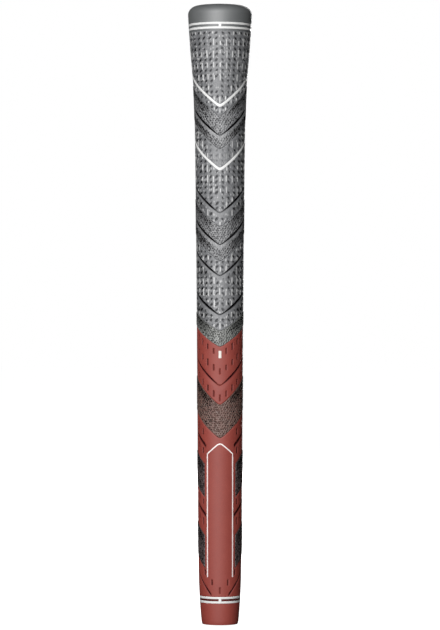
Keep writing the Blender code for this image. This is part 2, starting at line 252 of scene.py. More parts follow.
SLIT_COLUMNS = 22
SLIT_LENGTH = 2.9 * MM
SLIT_WIDTH = 0.64 * MM
SLIT_DEPTH = 0.42 * MM
SLIT_LENGTHS = (0.85, 0.3)  # least and spread, of the length above
SLIT_TAPER = 0.75  # share of its half length at which a slit starts to fade
SLIT_ROWS = {
    "rubber_section_upper": (98.6 * MM, 110.1 * MM, 117.5 * MM),
    "rubber_section_lower": (38.5 * MM, 47.0 * MM, 69.3 * MM, 77.5 * MM),
}
MOUTH_SLITS = 15.1 * MM
MOUTH_SLIT_COLUMNS = 16
MOUTH_SLIT_END_ANGLE = math.radians(60)
DASH_CLEAR_ANGLE = math.radians(8)
PANEL_CLEAR_ANGLE = math.radians(37)
PANEL_FADE_ANGLE = math.radians(6)
CLEAR_BELOW = 1 * MM  # under the dash and the panel

SIDE_INLAYS = {
    "side_inlay_lower": (18.5 * MM, 33.0 * MM),
    "side_inlay_upper": (49.5 * MM, 64.0 * MM),
}
SIDE_INLAY_START = math.radians(44)
POCKET_DEPTH = 0.6 * MM
POCKET_CLEARANCE = 0.05 * MM
INLAY_DEPTH = 0.9 * POCKET_DEPTH

# ------------------------------------------------------------------------------------ paint
PAINT_THICKNESS = 0.14 * MM
PAINT_CROWN = 0.05 * MM
PAINT_SINK = 0.02 * MM
DRAWN_LINE_LIFT = 0.06 * MM  # so that the skin's unevenness hides none of the line
DRAWN_LINE_SMOOTHINGS = 2
# Painted shade in the gap between the mouth rings
RING_GAP_SHADE = 0.6
STRIPE_LEVELS = {"cord_section_upper": 225.3 * MM, "cord_section_middle": 197.8 * MM}
STRIPE_WIDTH = 1.3 * MM
RING_WIDTH = 0.9 * MM
RING_WIDTH_IN_CAD = 0.75 * MM
TICK_WIDTH = 1.1 * MM
DASH_WIDTH = 1.2 * MM
PANEL_LINE_WIDTH = 0.55 * MM
PANEL_HALF_WIDTH = 5.8 * MM
PANEL_CORNER = 74.4 * MM
PANEL_APEX = 79.3 * MM
PANEL_APEX_ROUNDING = 1.4 * MM

# ---------------------------------------------------------------------------------- colours
DENSE_IOR = 1.8
USUAL_IOR = 1.5
CORD_GREYS = ((0.07, 0.072, 0.078), (0.17, 0.174, 0.186))
CORD_FLEECE = (0.40, 0.40, 0.41)
CORD_SPECK = (0.48, 0.48, 0.48)
CORD_THREAD = (0.95, 0.95, 0.94)
# Painted shade: the near-black that the pits, grooves and wing shadows of the corded rubber are
# darkened towards
CORD_PIT_SHADE = (0.004, 0.004, 0.005)
# The third colour of each finish is that of its painted highlight specks.
MESH_FINISHES = {  # the index of refraction, the colour of the face and that of its flecks
    "mesh_rubber": (DENSE_IOR, (0.15, 0.152, 0.16), (0.42, 0.42, 0.43)),
    "mesh_rubber_mixed": (DENSE_IOR, (0.14, 0.145, 0.135), (0.40, 0.41, 0.38)),
    "mesh_rubber_red": (USUAL_IOR, (0.185, 0.086, 0.068), (0.25, 0.185, 0.15)),
    "mesh_rubber_dark": (USUAL_IOR, (0.065, 0.039, 0.04), (0.16, 0.11, 0.105)),
}
MESH_BANDS = {  # and the finish of each
    "mesh_band_upper": "mesh_rubber",
    "mesh_band_middle": "mesh_rubber",
    "mesh_band_boundary": "mesh_rubber_mixed",
    "mesh_band_lower": "mesh_rubber_red",
}
MESH_SHADE = 0.6  # of the face's colour, where it isn't worn
# Painted shade: the near-black that the pits, grooves and wing shadows of the mesh bands are
# darkened towards
MESH_PIT_SHADE = (0.003, 0.003, 0.003)
RUBBER_REDS = ((0.255, 0.034, 0.024), (0.325, 0.051, 0.034))
RUBBER_GRAIN = (0.48, 0.11, 0.085)
# Painted shade: the dark red that the slits, grooves and ring gap of the plain rubber are darkened
# towards
RUBBER_PIT_SHADE = (0.05, 0.006, 0.008)
CAP_GREYS = ((0.10, 0.106, 0.108), (0.135, 0.142, 0.144))
CORE_GREYS = ((0.012, 0.012, 0.013), (0.030, 0.030, 0.031))
WHITE_PAINT = (0.86, 0.86, 0.85)
PANEL_PAINT = (1.0, 0.91, 0.89)
DASH_PAINT = (0.84, 0.80, 0.74)
THIN_PAINT_SHADE = 0.9
FLOOR_GREYS = ((0.80, 0.80, 0.80), (0.84, 0.84, 0.84))

# ----------------------------------------------------------------------------------- studio
MIDDLE_HEIGHT = 0.135
FLOOR_RADIUS = 6.0
FLOOR_SIDES = 96
FLOOR_HEIGHT = -0.0005
FLOOR_GLOW = 1.0
LIGHT_DISTANCE = 1.2
LIGHTS = (  # name, azimuth in degrees, height, width and length, brightness, whether it shines
    ("key", -13, 0.4, (0.2, 0.8), 1.28, True),
    ("back_key", 167, 0.4, (0.3, 0.8), 1.1, True),
    ("left_fill", -140, 0.3, (0.4, 0.8), 0.3, False),
    ("right_fill", 140, 0.3, (0.4, 0.8), 0.3, False),
)
CAMERA_LENS = 166.3
CAMERA_PLACE = (0, -1.27, 0.1346)


def smooth_curve(points):
    """A smooth curve through (x, value) points, as a function of x that is level past its ends."""
    xs, values = np.array(points, float).T
    last = len(xs) - 1
    before = np.maximum(np.arange(last + 1) - 1, 0)
    after = np.minimum(np.arange(last + 1) + 1, last)
    slopes = (values[after] - values[before]) / (xs[after] - xs[before])

    def curve(x):
        x = np.clip(x, xs[0], xs[-1])
        i = np.clip(np.searchsorted(xs, x, side="right") - 1, 0, last - 1)
        width = xs[i + 1] - xs[i]
        t = (x - xs[i]) / width
        start = values[i] * (1 + 2 * t) + slopes[i] * width * t
        end = values[i + 1] * (3 - 2 * t) - slopes[i + 1] * width * (1 - t)
        return start * (1 - t) ** 2 + end * t**2

    return curve


outline_curve = smooth_curve(OUTLINE)


def outer_radius(z):
    return outline_curve(z / MM) * MM


def bore_radius(z):
    share = z / BORE_DEPTH
    return BORE_RADIUS_AT_MOUTH + (BORE_RADIUS_AT_BUTT - BORE_RADIUS_AT_MOUTH) * share


def lining_radius(z):
    """The inside of the skin."""
    share = z / cad_box[1][2]
    return outer_radius(z) - SKIN_WALL_AT_MOUTH - (SKIN_WALL_AT_CAP - SKIN_WALL_AT_MOUTH) * share


def rise(level):
    levels, rises = np.array(RISES).T * MM
    return np.interp(level, levels, rises)


def chevron(theta):
    """0 on the front and back, 1 on the sides, with straight arms and rounded points."""
    wave = np.arcsin(CHEVRON_SHARPNESS * np.cos(2 * theta))
    return 0.5 - 0.5 * wave / math.asin(CHEVRON_SHARPNESS)


def from_front(theta):
    """The turn from the front to theta, from 0 to half a turn."""
    return np.abs(np.mod(theta + math.pi, FULL_TURN) - math.pi)


def from_middle(theta):
    """The turn from the nearer of the front and the back."""
    turn = from_front(theta)
    return np.minimum(turn, math.pi - turn)


def ramp(value, start, end):
    """0 at start and 1 at end, eased in between."""
    t = np.clip((value - start) / (end - start), 0, 1)
    return t * t * (3 - 2 * t)


def bottom_of(node):
    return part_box(node)[0][2]


def top_of(node):
    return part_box(node)[1][2]


def seam_below(name):
    """The level of the middle of the seam under a piece of the skin or the cap."""
    return bottom_of(name) - SEAM / 2


def skin_span(name):
    """The levels between which a piece of the skin lies, just clear of its neighbours."""
    above = SKIN[SKIN.index(name) + 1]
    low = seam_below(name) + SEAM_CLEARANCE if name != SKIN[0] else 0.0
    return low, seam_below(above) - SEAM_CLEARANCE


# ---------------------------------------------------------------------------- mesh building
def grid_faces(rows, columns, closed):
    """Quads between the points of a grid, facing out where rows run up and columns to the right.

    The rows are the points of a closed section, so the last joins the first. The columns join
    up too if closed is true, and otherwise a ladder of quads closes the section at each end.
    """
    index = np.arange(rows * columns).reshape(rows, columns)
    above = np.roll(index, -1, axis=0)
    if closed:
        right, above_right = np.roll(index, -1, axis=1), np.roll(above, -1, axis=1)
        return np.stack([index, right, above_right, above], axis=-1).reshape(-1, 4)
    sides = np.stack([index[:, :-1], index[:, 1:], above[:, 1:], above[:, :-1]], axis=-1)
    outside, inside = index[: rows // 2], index[rows // 2 :][::-1]
    faces = [sides.reshape(-1, 4)]
    for column, turn in ((0, 1), (columns - 1, -1)):
        out, back = outside[:, column], inside[:, column]
        faces.append(np.stack([out[:-1], out[1:], back[1:], back[:-1]], axis=-1)[:, ::turn])
    return np.concatenate(faces)


def make_mesh(name, grids, channels=None):
    """One mesh from grids of points, each (points, closed), and values for each point."""
    faces, count = [], 0
    for points, closed in grids:
        faces.append(grid_faces(*points.shape[:2], closed) + count)
        count += points.shape[0] * points.shape[1]
    points = np.concatenate([points.reshape(-1, 3) for points, _ in grids])
    faces = np.concatenate(faces)
    mesh = bpy.data.meshes.new(name)
    mesh.vertices.add(count)
    mesh.vertices.foreach_set("co", points.astype(np.float32).reshape(-1))
    mesh.loops.add(faces.size)
    mesh.loops.foreach_set("vertex_index", faces.astype(np.int32).reshape(-1))
    mesh.polygons.add(len(faces))
    mesh.polygons.foreach_set("loop_start", np.arange(0, faces.size, 4, dtype=np.int32))
    mesh.update(calc_edges=True)
    mesh.shade_smooth()
    mesh.set_sharp_from_angle(angle=SHARP_ANGLE)
    for channel, values in (channels or {}).items():
        attribute = mesh.attributes.new(channel, "FLOAT", "POINT")
        attribute.data.foreach_set("value", values.astype(np.float32).reshape(-1))
    return mesh


def add_piece(name, mesh, material, node):
    """A new visible piece that stands for a CAD node. Materials are named after their slots."""
    piece = bpy.data.objects.new(name, mesh)
    bpy.context.scene.collection.objects.link(piece)
    mesh.materials.append(material)
    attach(piece, "root")
    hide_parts(node)
    return piece


def place(radius, z, theta):
    """Points from radius, height and the turn from the front towards +X."""
    return np.stack([radius * np.sin(theta), -radius * np.cos(theta), z + 0 * theta], axis=-1)


def round_angles(columns, marks=()):
    """Angles right round, with a close pair of columns at each mark."""
    angles = np.arange(columns) * FULL_TURN / columns
    half_pair = CRISP_EDGE / 2 / outer_radius(0.0)
    for mark in marks:
        angles = angles[np.abs(angles - mark) > 2 * half_pair]
        angles = np.append(angles, (mark - half_pair, mark + half_pair))
    return np.sort(angles)


def row_levels(low, high, spacing, crisp_edges=()):
    """Levels at most spacing apart on the front and the sides, with a close pair at each edge."""
    marks = [low, high]
    for edge in crisp_edges:
        marks += [m for m in (edge - CRISP_EDGE / 2, edge + CRISP_EDGE / 2) if low < m < high]
    marks = np.unique(marks)
    levels = []
    for start, end in zip(marks, marks[1:]):
        stretch = max(end - start, end + rise(end) - start - rise(start))
        levels += list(np.linspace(start, end, max(1, math.ceil(stretch / spacing)), False))
    return np.array(levels + [high])


def follow_chevrons(level, theta):
    """The heights of a chevron line."""
    return level + rise(level) * chevron(theta)


def follow_mouth_groove(level, theta):
    """The heights of a line that runs like the steeper groove above the mouth."""
    return level + MOUTH_RISE * chevron(theta)


def add_skin(name, material, angles, levels, relief, inner_rows):
    """A closed ring of skin, with relief over the outline outside and inner_rows behind it."""
    theta, level = np.meshgrid(angles, levels)
    z = follow_chevrons(level, theta)
    height, channels = relief(theta, level, z)
    rows = [place(outer_radius(z) + height, z, theta)]
    for heights, radius_at in inner_rows:
        heights = heights + 0 * angles
        rows.append(place(radius_at(heights), heights, angles)[None])
    blank = np.zeros((len(inner_rows), len(angles)))
    channels = {channel: np.concatenate([v, blank]) for channel, v in channels.items()}
    mesh = make_mesh(name, [(np.concatenate(rows), True)], channels)
    add_piece(name + "_skin", mesh, material, name)


def turned_grid(profile, columns):
    """A body turned from (radius, height) points, up its outside and down its inside."""
    radius, z = np.array(profile).T
    angles = np.arange(columns) * FULL_TURN / columns
    return place(radius[:, None], z[:, None], np.broadcast_to(angles, (len(z), columns))), True


# ---------------------------------------------------------------------------------- reliefs
def open_share(theta):
    """How open a groove is, from 1 on the front and back to 0 on the sides."""
    return ramp(from_middle(theta), GROOVE_END_ANGLE, GROOVE_FULL_ANGLE)


def groove_share(theta, distance, full_width=GROOVE_WIDTH):
    """A V-shaped groove, from the distance above its middle. From 0 to 1."""
    widening = ramp(from_middle(theta), 0, GROOVE_WIDENING_ANGLE)
    width = GROOVE_WIDTH_AT_POINT + (full_width - GROOVE_WIDTH_AT_POINT) * widening
    depth = np.clip(1 - np.abs(distance) / (width / 2), 0, 1) ** GROOVE_SHARPNESS
    return depth * open_share(theta)


def bevel_share(theta, distance):
    """The slope that runs from a groove up to the skin below it. From 0 to 1."""
    slope = np.clip(1 + distance / GROOVE_BEVEL, 0, 1)
    return np.where(distance < 0, slope, 0) * open_share(theta)


def all_grooves(theta, level, grooves, width=GROOVE_WIDTH):
    """The deepest groove and bevel at each point, from 0 to 1."""
    cut, bevel = np.zeros_like(level), np.zeros_like(level)
    for middle in grooves:
        cut = np.maximum(cut, groove_share(theta, level - middle, width))
        bevel = np.maximum(bevel, bevel_share(theta, level - middle))
    return cut, bevel


def carve(height, cut, bevel):
    return height - np.maximum(GROOVE_DEPTH * cut, GROOVE_BEVEL_DEPTH * bevel)


def off_bevel(bevel):
    """1 off a bevel, falling to 0 on it."""
    return 1 - ramp(bevel, *BEVEL_BARE_SHARES)


def clear_of(level, lines, bare, full):
    """0 within bare of any of the lines, rising to 1 at full."""
    distance = np.full_like(level, np.inf)
    for line in lines:
        distance = np.minimum(distance, np.abs(level - line))
    return ramp(distance, bare, full)


def edge_distance(level, low, high):
    return np.minimum(level - low, high - level)


def seam_rounding(distance):
    """How far a piece dips at its edge."""
    return SEAM_ROUNDING * np.exp(-((distance / SEAM_ROUNDING_WIDTH) ** 2))


def unevenness(theta, z, seed, size):
    """The slow waves of a moulded surface, from -1 to 1."""
    turn = np.random.default_rng(seed).uniform(0, FULL_TURN, 4)
    around = np.sin(3 * theta + turn[0] + 1.7 * np.sin(z / size + turn[1]))
    return 0.5 * (around + np.sin(2 * z / size + turn[2] + 2 * np.sin(2 * theta + turn[3])))


def cells(around, along, columns, seed):
    """How far each point is from its cell's middle, both ways and in cells, and six numbers
    from 0 to 1 that are drawn for each cell."""
    chance = np.random.default_rng(seed).random((6, DRAWN_ROWS, columns))
    column, row = np.floor(around).astype(int), np.floor(along).astype(int)
    drawn = chance[:, row % chance.shape[1], column % columns]
    return around - column - 0.5, along - row - 0.5, drawn


def vary(sizes, drawn):
    """A size from its least and its spread, and a number from 0 to 1 that is drawn for it."""
    least, spread = sizes
    return least + spread * drawn


def arc(share, columns, z):
    """The way round the skin for a share of one of its columns."""
    return share * FULL_TURN / columns * outer_radius(z)


def drawn_out(theta):
    """How much wider a feature of the relief is than on the front or back, going round to the
    sides: the two halves of the mould draw it out along the way they part, at most to twice
    its width."""
    return 1 / np.maximum(np.abs(np.cos(theta)), 0.5)


def cord_pits(theta, z, columns, seed):
    """Short pits in rows, leaning to the middle of the front and back. From 0 to 1."""
    across, up, drawn = cells(theta / FULL_TURN * columns, z / CORD_PITCH, columns, seed)
    scatter_across, scatter_up = CORD_PIT_SCATTER
    across = arc(across + scatter_across * (drawn[0] - 0.5), columns, z) / drawn_out(theta)
    up = (up + scatter_up * (drawn[1] - 0.5)) * CORD_PITCH
    lean = CORD_PIT_LEAN * np.sign(np.sin(2 * theta))
    side = across * np.cos(lean) + up * np.sin(lean)
    end = up * np.cos(lean) - across * np.sin(lean)
    size = np.where(drawn[2] > CORD_PIT_MISSING, vary(CORD_PIT_SIZES, drawn[3]), MISSING_SIZE)
    return np.exp(-((side / CORD_PIT_WIDTH / size) ** 2) - (end / CORD_PIT_LENGTH / size) ** 2)


def cord_threads(theta, z, columns, seed, pitch, kind):
    """Upright ends of cord, in columns between the pits and in rows a pitch apart.

    kind is (share of cells that hold one, width, longest, scatter in cells). From 0 to 1.
    """
    share, width, longest, scatter = kind
    around = theta / FULL_TURN * columns + 0.5
    across, up, drawn = cells(around, z / pitch, columns, seed)
    across = arc(across + scatter * (drawn[0] - 0.5), columns, z) / drawn_out(theta)
    up = np.abs(up + scatter * (drawn[1] - 0.5)) * pitch
    half_length = vary(THREAD_LENGTHS, drawn[2]) * longest / 2
    thread = np.exp(-((across / (width / 2)) ** 2))
    thread *= ramp(up, half_length, THREAD_TAPER * half_length) * vary(THREAD_STRENGTHS, drawn[3])
    patches = unevenness(theta, z, seed + 1, THREAD_PATCH_SIZE)
    return np.where(drawn[4] < share * (1 + THREAD_PATCHINESS * patches), thread, 0)


def mesh_pits(theta, z):
    """Oval pits laid like bricks. From 0 to 1."""
    along = z / MESH_PITCH
    around = theta / FULL_TURN * MESH_COLUMNS + 0.5 * np.mod(np.floor(along), 2)
    across, up, drawn = cells(around, along, MESH_COLUMNS, SEEDS["mesh_pits"])
    across = arc(across + MESH_PIT_SCATTER * (drawn[0] - 0.5), MESH_COLUMNS, z)
    across = across / drawn_out(theta) ** 0.5
    up = (up + MESH_PIT_SCATTER * (drawn[1] - 0.5)) * MESH_PITCH
    size = vary(MESH_PIT_SIZES, drawn[2])
    return np.exp(-((across / MESH_PIT_LENGTH / size) ** 4) - (up / MESH_PIT_WIDTH / size) ** 2)


def slits(theta, z, height_at, rows, columns, seed):
    """Upright slits in rows that follow height_at(level, theta). From 0 to 1."""
    chance = np.random.default_rng(seed).random((len(rows), columns))
    around = theta / FULL_TURN * columns
    column = np.rint(around).astype(int)
    across = arc(around - column, columns, z)
    middle = column * FULL_TURN / columns
    found = np.zeros_like(z)
    for level, drawn in zip(rows, chance):
        up = z - height_at(level, middle)
        half_length = SLIT_LENGTH / 2 * vary(SLIT_LENGTHS, drawn[column % columns])
        slit = np.exp(-((across / (SLIT_WIDTH / 2)) ** 4))
        slit *= ramp(np.abs(up), half_length, SLIT_TAPER * half_length)
        found = np.maximum(found, slit)
    return found


def towards_sides(theta, in_the_middle, angle):
    """A share that rises from the middle of the front and back to 1 at an angle from it."""
    return in_the_middle + (1 - in_the_middle) * ramp(from_middle(theta), 0, angle)


def painted_shade(theta, pit_and_painted_shade, cut, wings=0.0):
    """The painted shade of pits, grooves and wing shadows at each point, from 0 to 1: most so
    towards the sides, which the front light reaches less.
    """
    pit_and_painted_shade = np.clip(PIT_SHADE_GAIN * pit_and_painted_shade, 0, PIT_SHADE_LIMIT)
    pit_and_painted_shade = pit_and_painted_shade * towards_sides(theta, PIT_SHADE_AT_FRONT, PIT_SHADE_ANGLE)
    cut = np.clip(GROOVE_SHADE_GAIN * cut, 0, 1)
    cut = cut * towards_sides(theta, GROOVE_SHADE_AT_POINT, GROOVE_SHADE_ANGLE)
    return np.clip(pit_and_painted_shade + cut + wings, 0, 1)


def wing_shadow_share(theta, level, tops):
    """Painted shadow in wings that fade downwards from each top and grow towards the sides. From 0
    to 1.
    """
    found = np.zeros_like(level)
    for top in tops:
        hanging = np.where(level < top, ramp(top - level, WING_HEIGHT, 0), 0)
        found = np.maximum(found, hanging)
    return found * ramp(from_middle(theta), WING_START_ANGLE, WING_FULL_ANGLE)


def under_grooves(grooves):
    """The levels at which the bevels under grooves end."""
    return [level - GROOVE_BEVEL for level in grooves]


def cord_relief(name, low, high):
    """The relief of corded rubber between two levels, as a function for add_skin."""
    columns, seed = CORD_COLUMNS[name], SKIN.index(name)
    grooves = GROOVES.get(name, ())
    stripes = [STRIPE_LEVELS[name]] if name in STRIPE_LEVELS else []
    bare_height = BARE_HEIGHT.get(name, 0)
    swell, swell_size = CORD_SWELL

    def relief(theta, level, z):
        edge = edge_distance(level, low, high)
        clear = ramp(edge, *CORD_EDGE_MARGIN)
        cut, bevel = all_grooves(theta, level, grooves)
        clear = clear * clear_of(level, grooves, *CORD_GROOVE_MARGIN) * off_bevel(bevel)
        clear = clear * clear_of(level, stripes, *CORD_STRIPE_MARGIN)
        bare = ramp(high - level, bare_height, bare_height - BARE_FADE_HEIGHT)
        near_middle = ramp(from_middle(theta), BARE_END_ANGLE, BARE_FULL_ANGLE)
        clear = clear * (1 - BARE_STRENGTH * bare * near_middle)
        pit_and_painted_shade = clear * cord_pits(theta, z, columns, seed)
        ends = cord_threads(theta, z, columns, seed, THREAD_PITCH, THREADS)
        stray_columns = STRAYS_PER_COLUMN * columns
        strays = cord_threads(theta, z, stray_columns, seed, STRAY_PITCH, STRAYS)
        thread = clear * np.maximum(ends, STRAY_STRENGTH * strays)
        height = THREAD_PROUD * thread - CORD_PIT_DEPTH * pit_and_painted_shade - seam_rounding(edge)
        height += swell * unevenness(theta, z, seed, swell_size)
        height = carve(height, cut, bevel)
        under_paint = clear_of(level, stripes, STRIPE_WIDTH / 2, STRIPE_WIDTH / 2 + CRISP_EDGE)
        height = np.minimum(height, 0) * under_paint - PAINT_THICKNESS * (1 - under_paint)
        # Painted shadow in wings under the grooves' bevels, kept off the stripe, joins the painted
        # shade of pits and grooves
        wings = CORD_WING_SHADOW * wing_shadow_share(theta, level, under_grooves(grooves))
        return height, {"pit_and_painted_shade": painted_shade(theta, pit_and_painted_shade, cut, wings * under_paint), "thread": thread}

    return relief


def mesh_relief(name, low, high):
    """The relief of a mesh-textured band between two levels."""
    grooves = GROOVES.get(name, ())
    swell, swell_size = MESH_SWELL

    def relief(theta, level, z):
        edge = edge_distance(level, low, high)
        cut, bevel = all_grooves(theta, level, grooves)
        clear = ramp(edge, *MESH_EDGE_MARGIN) * clear_of(level, grooves, *MESH_GROOVE_MARGIN)
        pit_and_painted_shade = clear * mesh_pits(theta, z) * off_bevel(bevel)
        height = MESH_PROUD * ramp(edge, 0, MESH_SLOPE) - MESH_PIT_DEPTH * pit_and_painted_shade
        waves = unevenness(theta, z, SEEDS["mesh_swell"], swell_size)
        height += swell * waves - seam_rounding(edge)
        # Painted shadow in wings under the band's top and the grooves' bevels, joined to the
        # painted shade of pits and grooves
        wings = MESH_WING_SHADOW * wing_shadow_share(theta, level, [high] + under_grooves(grooves))
        return carve(height, cut, bevel), {"pit_and_painted_shade": painted_shade(theta, pit_and_painted_shade, cut, wings)}

    return relief


def rubber_relief(theta, z, edge, slit, cut, bevel):
    """The relief of plain rubber, with its slits and grooves, and the painted shade in them."""
    swell, swell_size = RUBBER_SWELL
    waves = unevenness(theta, z, SEEDS["rubber_swell"], swell_size)
    height = swell * waves - SLIT_DEPTH * slit
    height = carve(height - seam_rounding(edge), cut, bevel)
    return height, {"pit_and_painted_shade": painted_shade(theta, slit, cut)}


def upper_rubber_relief(name, low, high):
    """Plain rubber that is bare beside the dash."""

    def relief(theta, level, z):
        slit = slits(theta, z, follow_chevrons, SLIT_ROWS[name], SLIT_COLUMNS, SEEDS[name])
        beside_dash = (from_front(theta) < DASH_CLEAR_ANGLE) & (z > bottom_of(DASH) - CLEAR_BELOW)
        slit = np.where(beside_dash, 0, slit)
        cut, bevel = all_grooves(theta, level, GROOVES[name])
        return rubber_relief(theta, z, edge_distance(level, low, high), slit, cut, bevel)

    return relief


def mouth_slits(theta, z):
    """The row of slits above the mouth, which ends before the sides."""
    rows, columns, seed = (MOUTH_SLITS,), MOUTH_SLIT_COLUMNS, SEEDS["mouth_slits"]
    slit = slits(theta, z, follow_mouth_groove, rows, columns, seed)
    return np.where(from_middle(theta) < MOUTH_SLIT_END_ANGLE, slit, 0)


def lower_rubber_relief(name, high):
    """Plain rubber that is bare on the panel, with pockets for the side inlays and channels
    under the rings at the mouth."""

    def relief(theta, level, z):
        slit = slits(theta, z, follow_chevrons, SLIT_ROWS[name], SLIT_COLUMNS, SEEDS[name])
        slit = np.maximum(slit, mouth_slits(theta, z))
        past_panel = from_front(theta) - PANEL_CLEAR_ANGLE
        beside_panel = ramp(past_panel, 0, PANEL_FADE_ANGLE)
        slit = slit * np.where(z > bottom_of(PANEL) - CLEAR_BELOW, beside_panel, 1)
        cut, bevel = all_grooves(theta, level, GROOVES[name], GROOVE_WIDTH_BY_PANEL)
        above_mouth_groove = z - follow_mouth_groove(MOUTH_GROOVE, theta)
        on_sides = ramp(from_middle(theta), MOUTH_GROOVE_START, MOUTH_GROOVE_FULL)
        mouth_groove = groove_share(theta, above_mouth_groove) * on_sides
        cut = np.maximum(cut * beside_panel, mouth_groove)
        edge = high - level
        height, channels = rubber_relief(theta, z, edge, slit, cut, bevel * beside_panel)
        for inlay_low, inlay_high in SIDE_INLAYS.values():
            pocket = ramp(edge_distance(level, inlay_low, inlay_high), -CRISP_EDGE, 0)
            start = SIDE_INLAY_START - POCKET_CLEARANCE / outer_radius(z)
            pocket = pocket * (from_front(theta) > start)
            height = height * (1 - pocket) - POCKET_DEPTH * pocket
        rings = ring_heights("mouth_rings")
        for ring in rings:
            under_paint = np.abs(z - ring) < RING_WIDTH / 2 + CRISP_EDGE
            height = np.where(under_paint, -PAINT_THICKNESS, height)
        # Painted shade in the gap between the mouth rings
        between_rings = (z > rings[0]) & (z < rings[1])
        channels["pit_and_painted_shade"] = np.where(between_rings, RING_GAP_SHADE, channels["pit_and_painted_shade"])
        return height, channels

    return relief


# ------------------------------------------------------------------------------------ paint
def paint_section(width, lift=0.0):
    """Offsets across a line of paint and heights over the skin, round its closed section."""
    across = np.linspace(-0.5, 0.5, PAINT_SECTION_POINTS)
    crown = PAINT_CROWN * (1 - (2 * across) ** 2) - PAINT_SINK + lift
    section = [(a * width, h) for a, h in zip(across, crown)]
    return section + [(a * width, -PAINT_THICKNESS) for a in across[::-1]]


def level_line(z_at, width):
    """A closed line of paint, level or along a chevron, from its height at each angle."""
    angles = round_angles(COLUMNS)
    rows = []
    for offset, height in paint_section(width):
        z = z_at(angles) + offset
        rows.append(place(outer_radius(z) + height, z, angles))
    return np.array(rows), True


def drawn_line(path, width):
    """A line of paint along points (distance round the skin from the front, height)."""
    path = np.array(path)
    steps = np.hypot(*np.diff(path, axis=0).T)
    length = np.concatenate([[0], np.cumsum(steps)])
    stops = np.linspace(0, length[-1], math.ceil(length[-1] / ROW_SPACING) + 1)
    points = np.stack([np.interp(stops, length, values) for values in path.T], axis=-1)
    for _ in range(DRAWN_LINE_SMOOTHINGS):
        points[1:-1] = (points[:-2] + 2 * points[1:-1] + points[2:]) / 4
    along = np.gradient(points, axis=0)
    along /= np.hypot(*along.T)[:, None]
    to_left = np.stack([-along[:, 1], along[:, 0]], axis=-1)
    rows = []
    for offset, height in paint_section(width, DRAWN_LINE_LIFT):
        u, z = (points - offset * to_left).T
        radius = outer_radius(z)
        rows.append(place(radius + height, z, u / radius))
    return np.array(rows)[::-1], False


def ring_heights(node):
    """The heights of a pair of painted rings."""
    return bottom_of(node) + RING_WIDTH_IN_CAD / 2, top_of(node) - RING_WIDTH_IN_CAD / 2


def add_ring_pair(node, material):
    """Two rings that a short tick joins at the front."""
    low, high = ring_heights(node)
    grids = [level_line(lambda angles, z=z: z + 0 * angles, RING_WIDTH) for z in (low, high)]
    grids.append(drawn_line([(0, low), (0, high)], TICK_WIDTH))
    add_piece(node + "_paint", make_mesh(node, grids), material, node)


def add_chevron_stripe(node, material):
    """A stripe that runs right round along a chevron."""
    climb = top_of(node) - bottom_of(node) - STRIPE_WIDTH
    middle = bottom_of(node) + STRIPE_WIDTH / 2
    grid = level_line(lambda angles: middle + climb * chevron(angles), STRIPE_WIDTH)
    add_piece(node + "_paint", make_mesh(node, [grid]), material, node)


def panel_roof(u):
    """The height of the panel's sloping top lines, with the apex rounded off."""
    slope = (PANEL_APEX - PANEL_CORNER) / PANEL_HALF_WIDTH
    u, r = np.abs(u), PANEL_APEX_ROUNDING
    return PANEL_APEX - slope * np.where(u < r, (u**2 / r + r) / 2, u)


def add_panel_outline(material):
    """The line up one side of the panel, over its peaked top and down the other side."""
    foot = bottom_of(PANEL)
    roof = np.linspace(-PANEL_HALF_WIDTH, PANEL_HALF_WIDTH, PANEL_ROOF_POINTS)
    path = [(-PANEL_HALF_WIDTH, foot), *zip(roof, panel_roof(roof)), (PANEL_HALF_WIDTH, foot)]
    mesh = make_mesh(PANEL, [drawn_line(path, PANEL_LINE_WIDTH)])
    add_piece(PANEL + "_paint", mesh, material, PANEL)


def add_dash(material):
    path = [(0, bottom_of(DASH)), (0, top_of(DASH))]
    mesh = make_mesh(DASH, [drawn_line(path, DASH_WIDTH)])
    add_piece(DASH + "_paint", mesh, material, DASH)


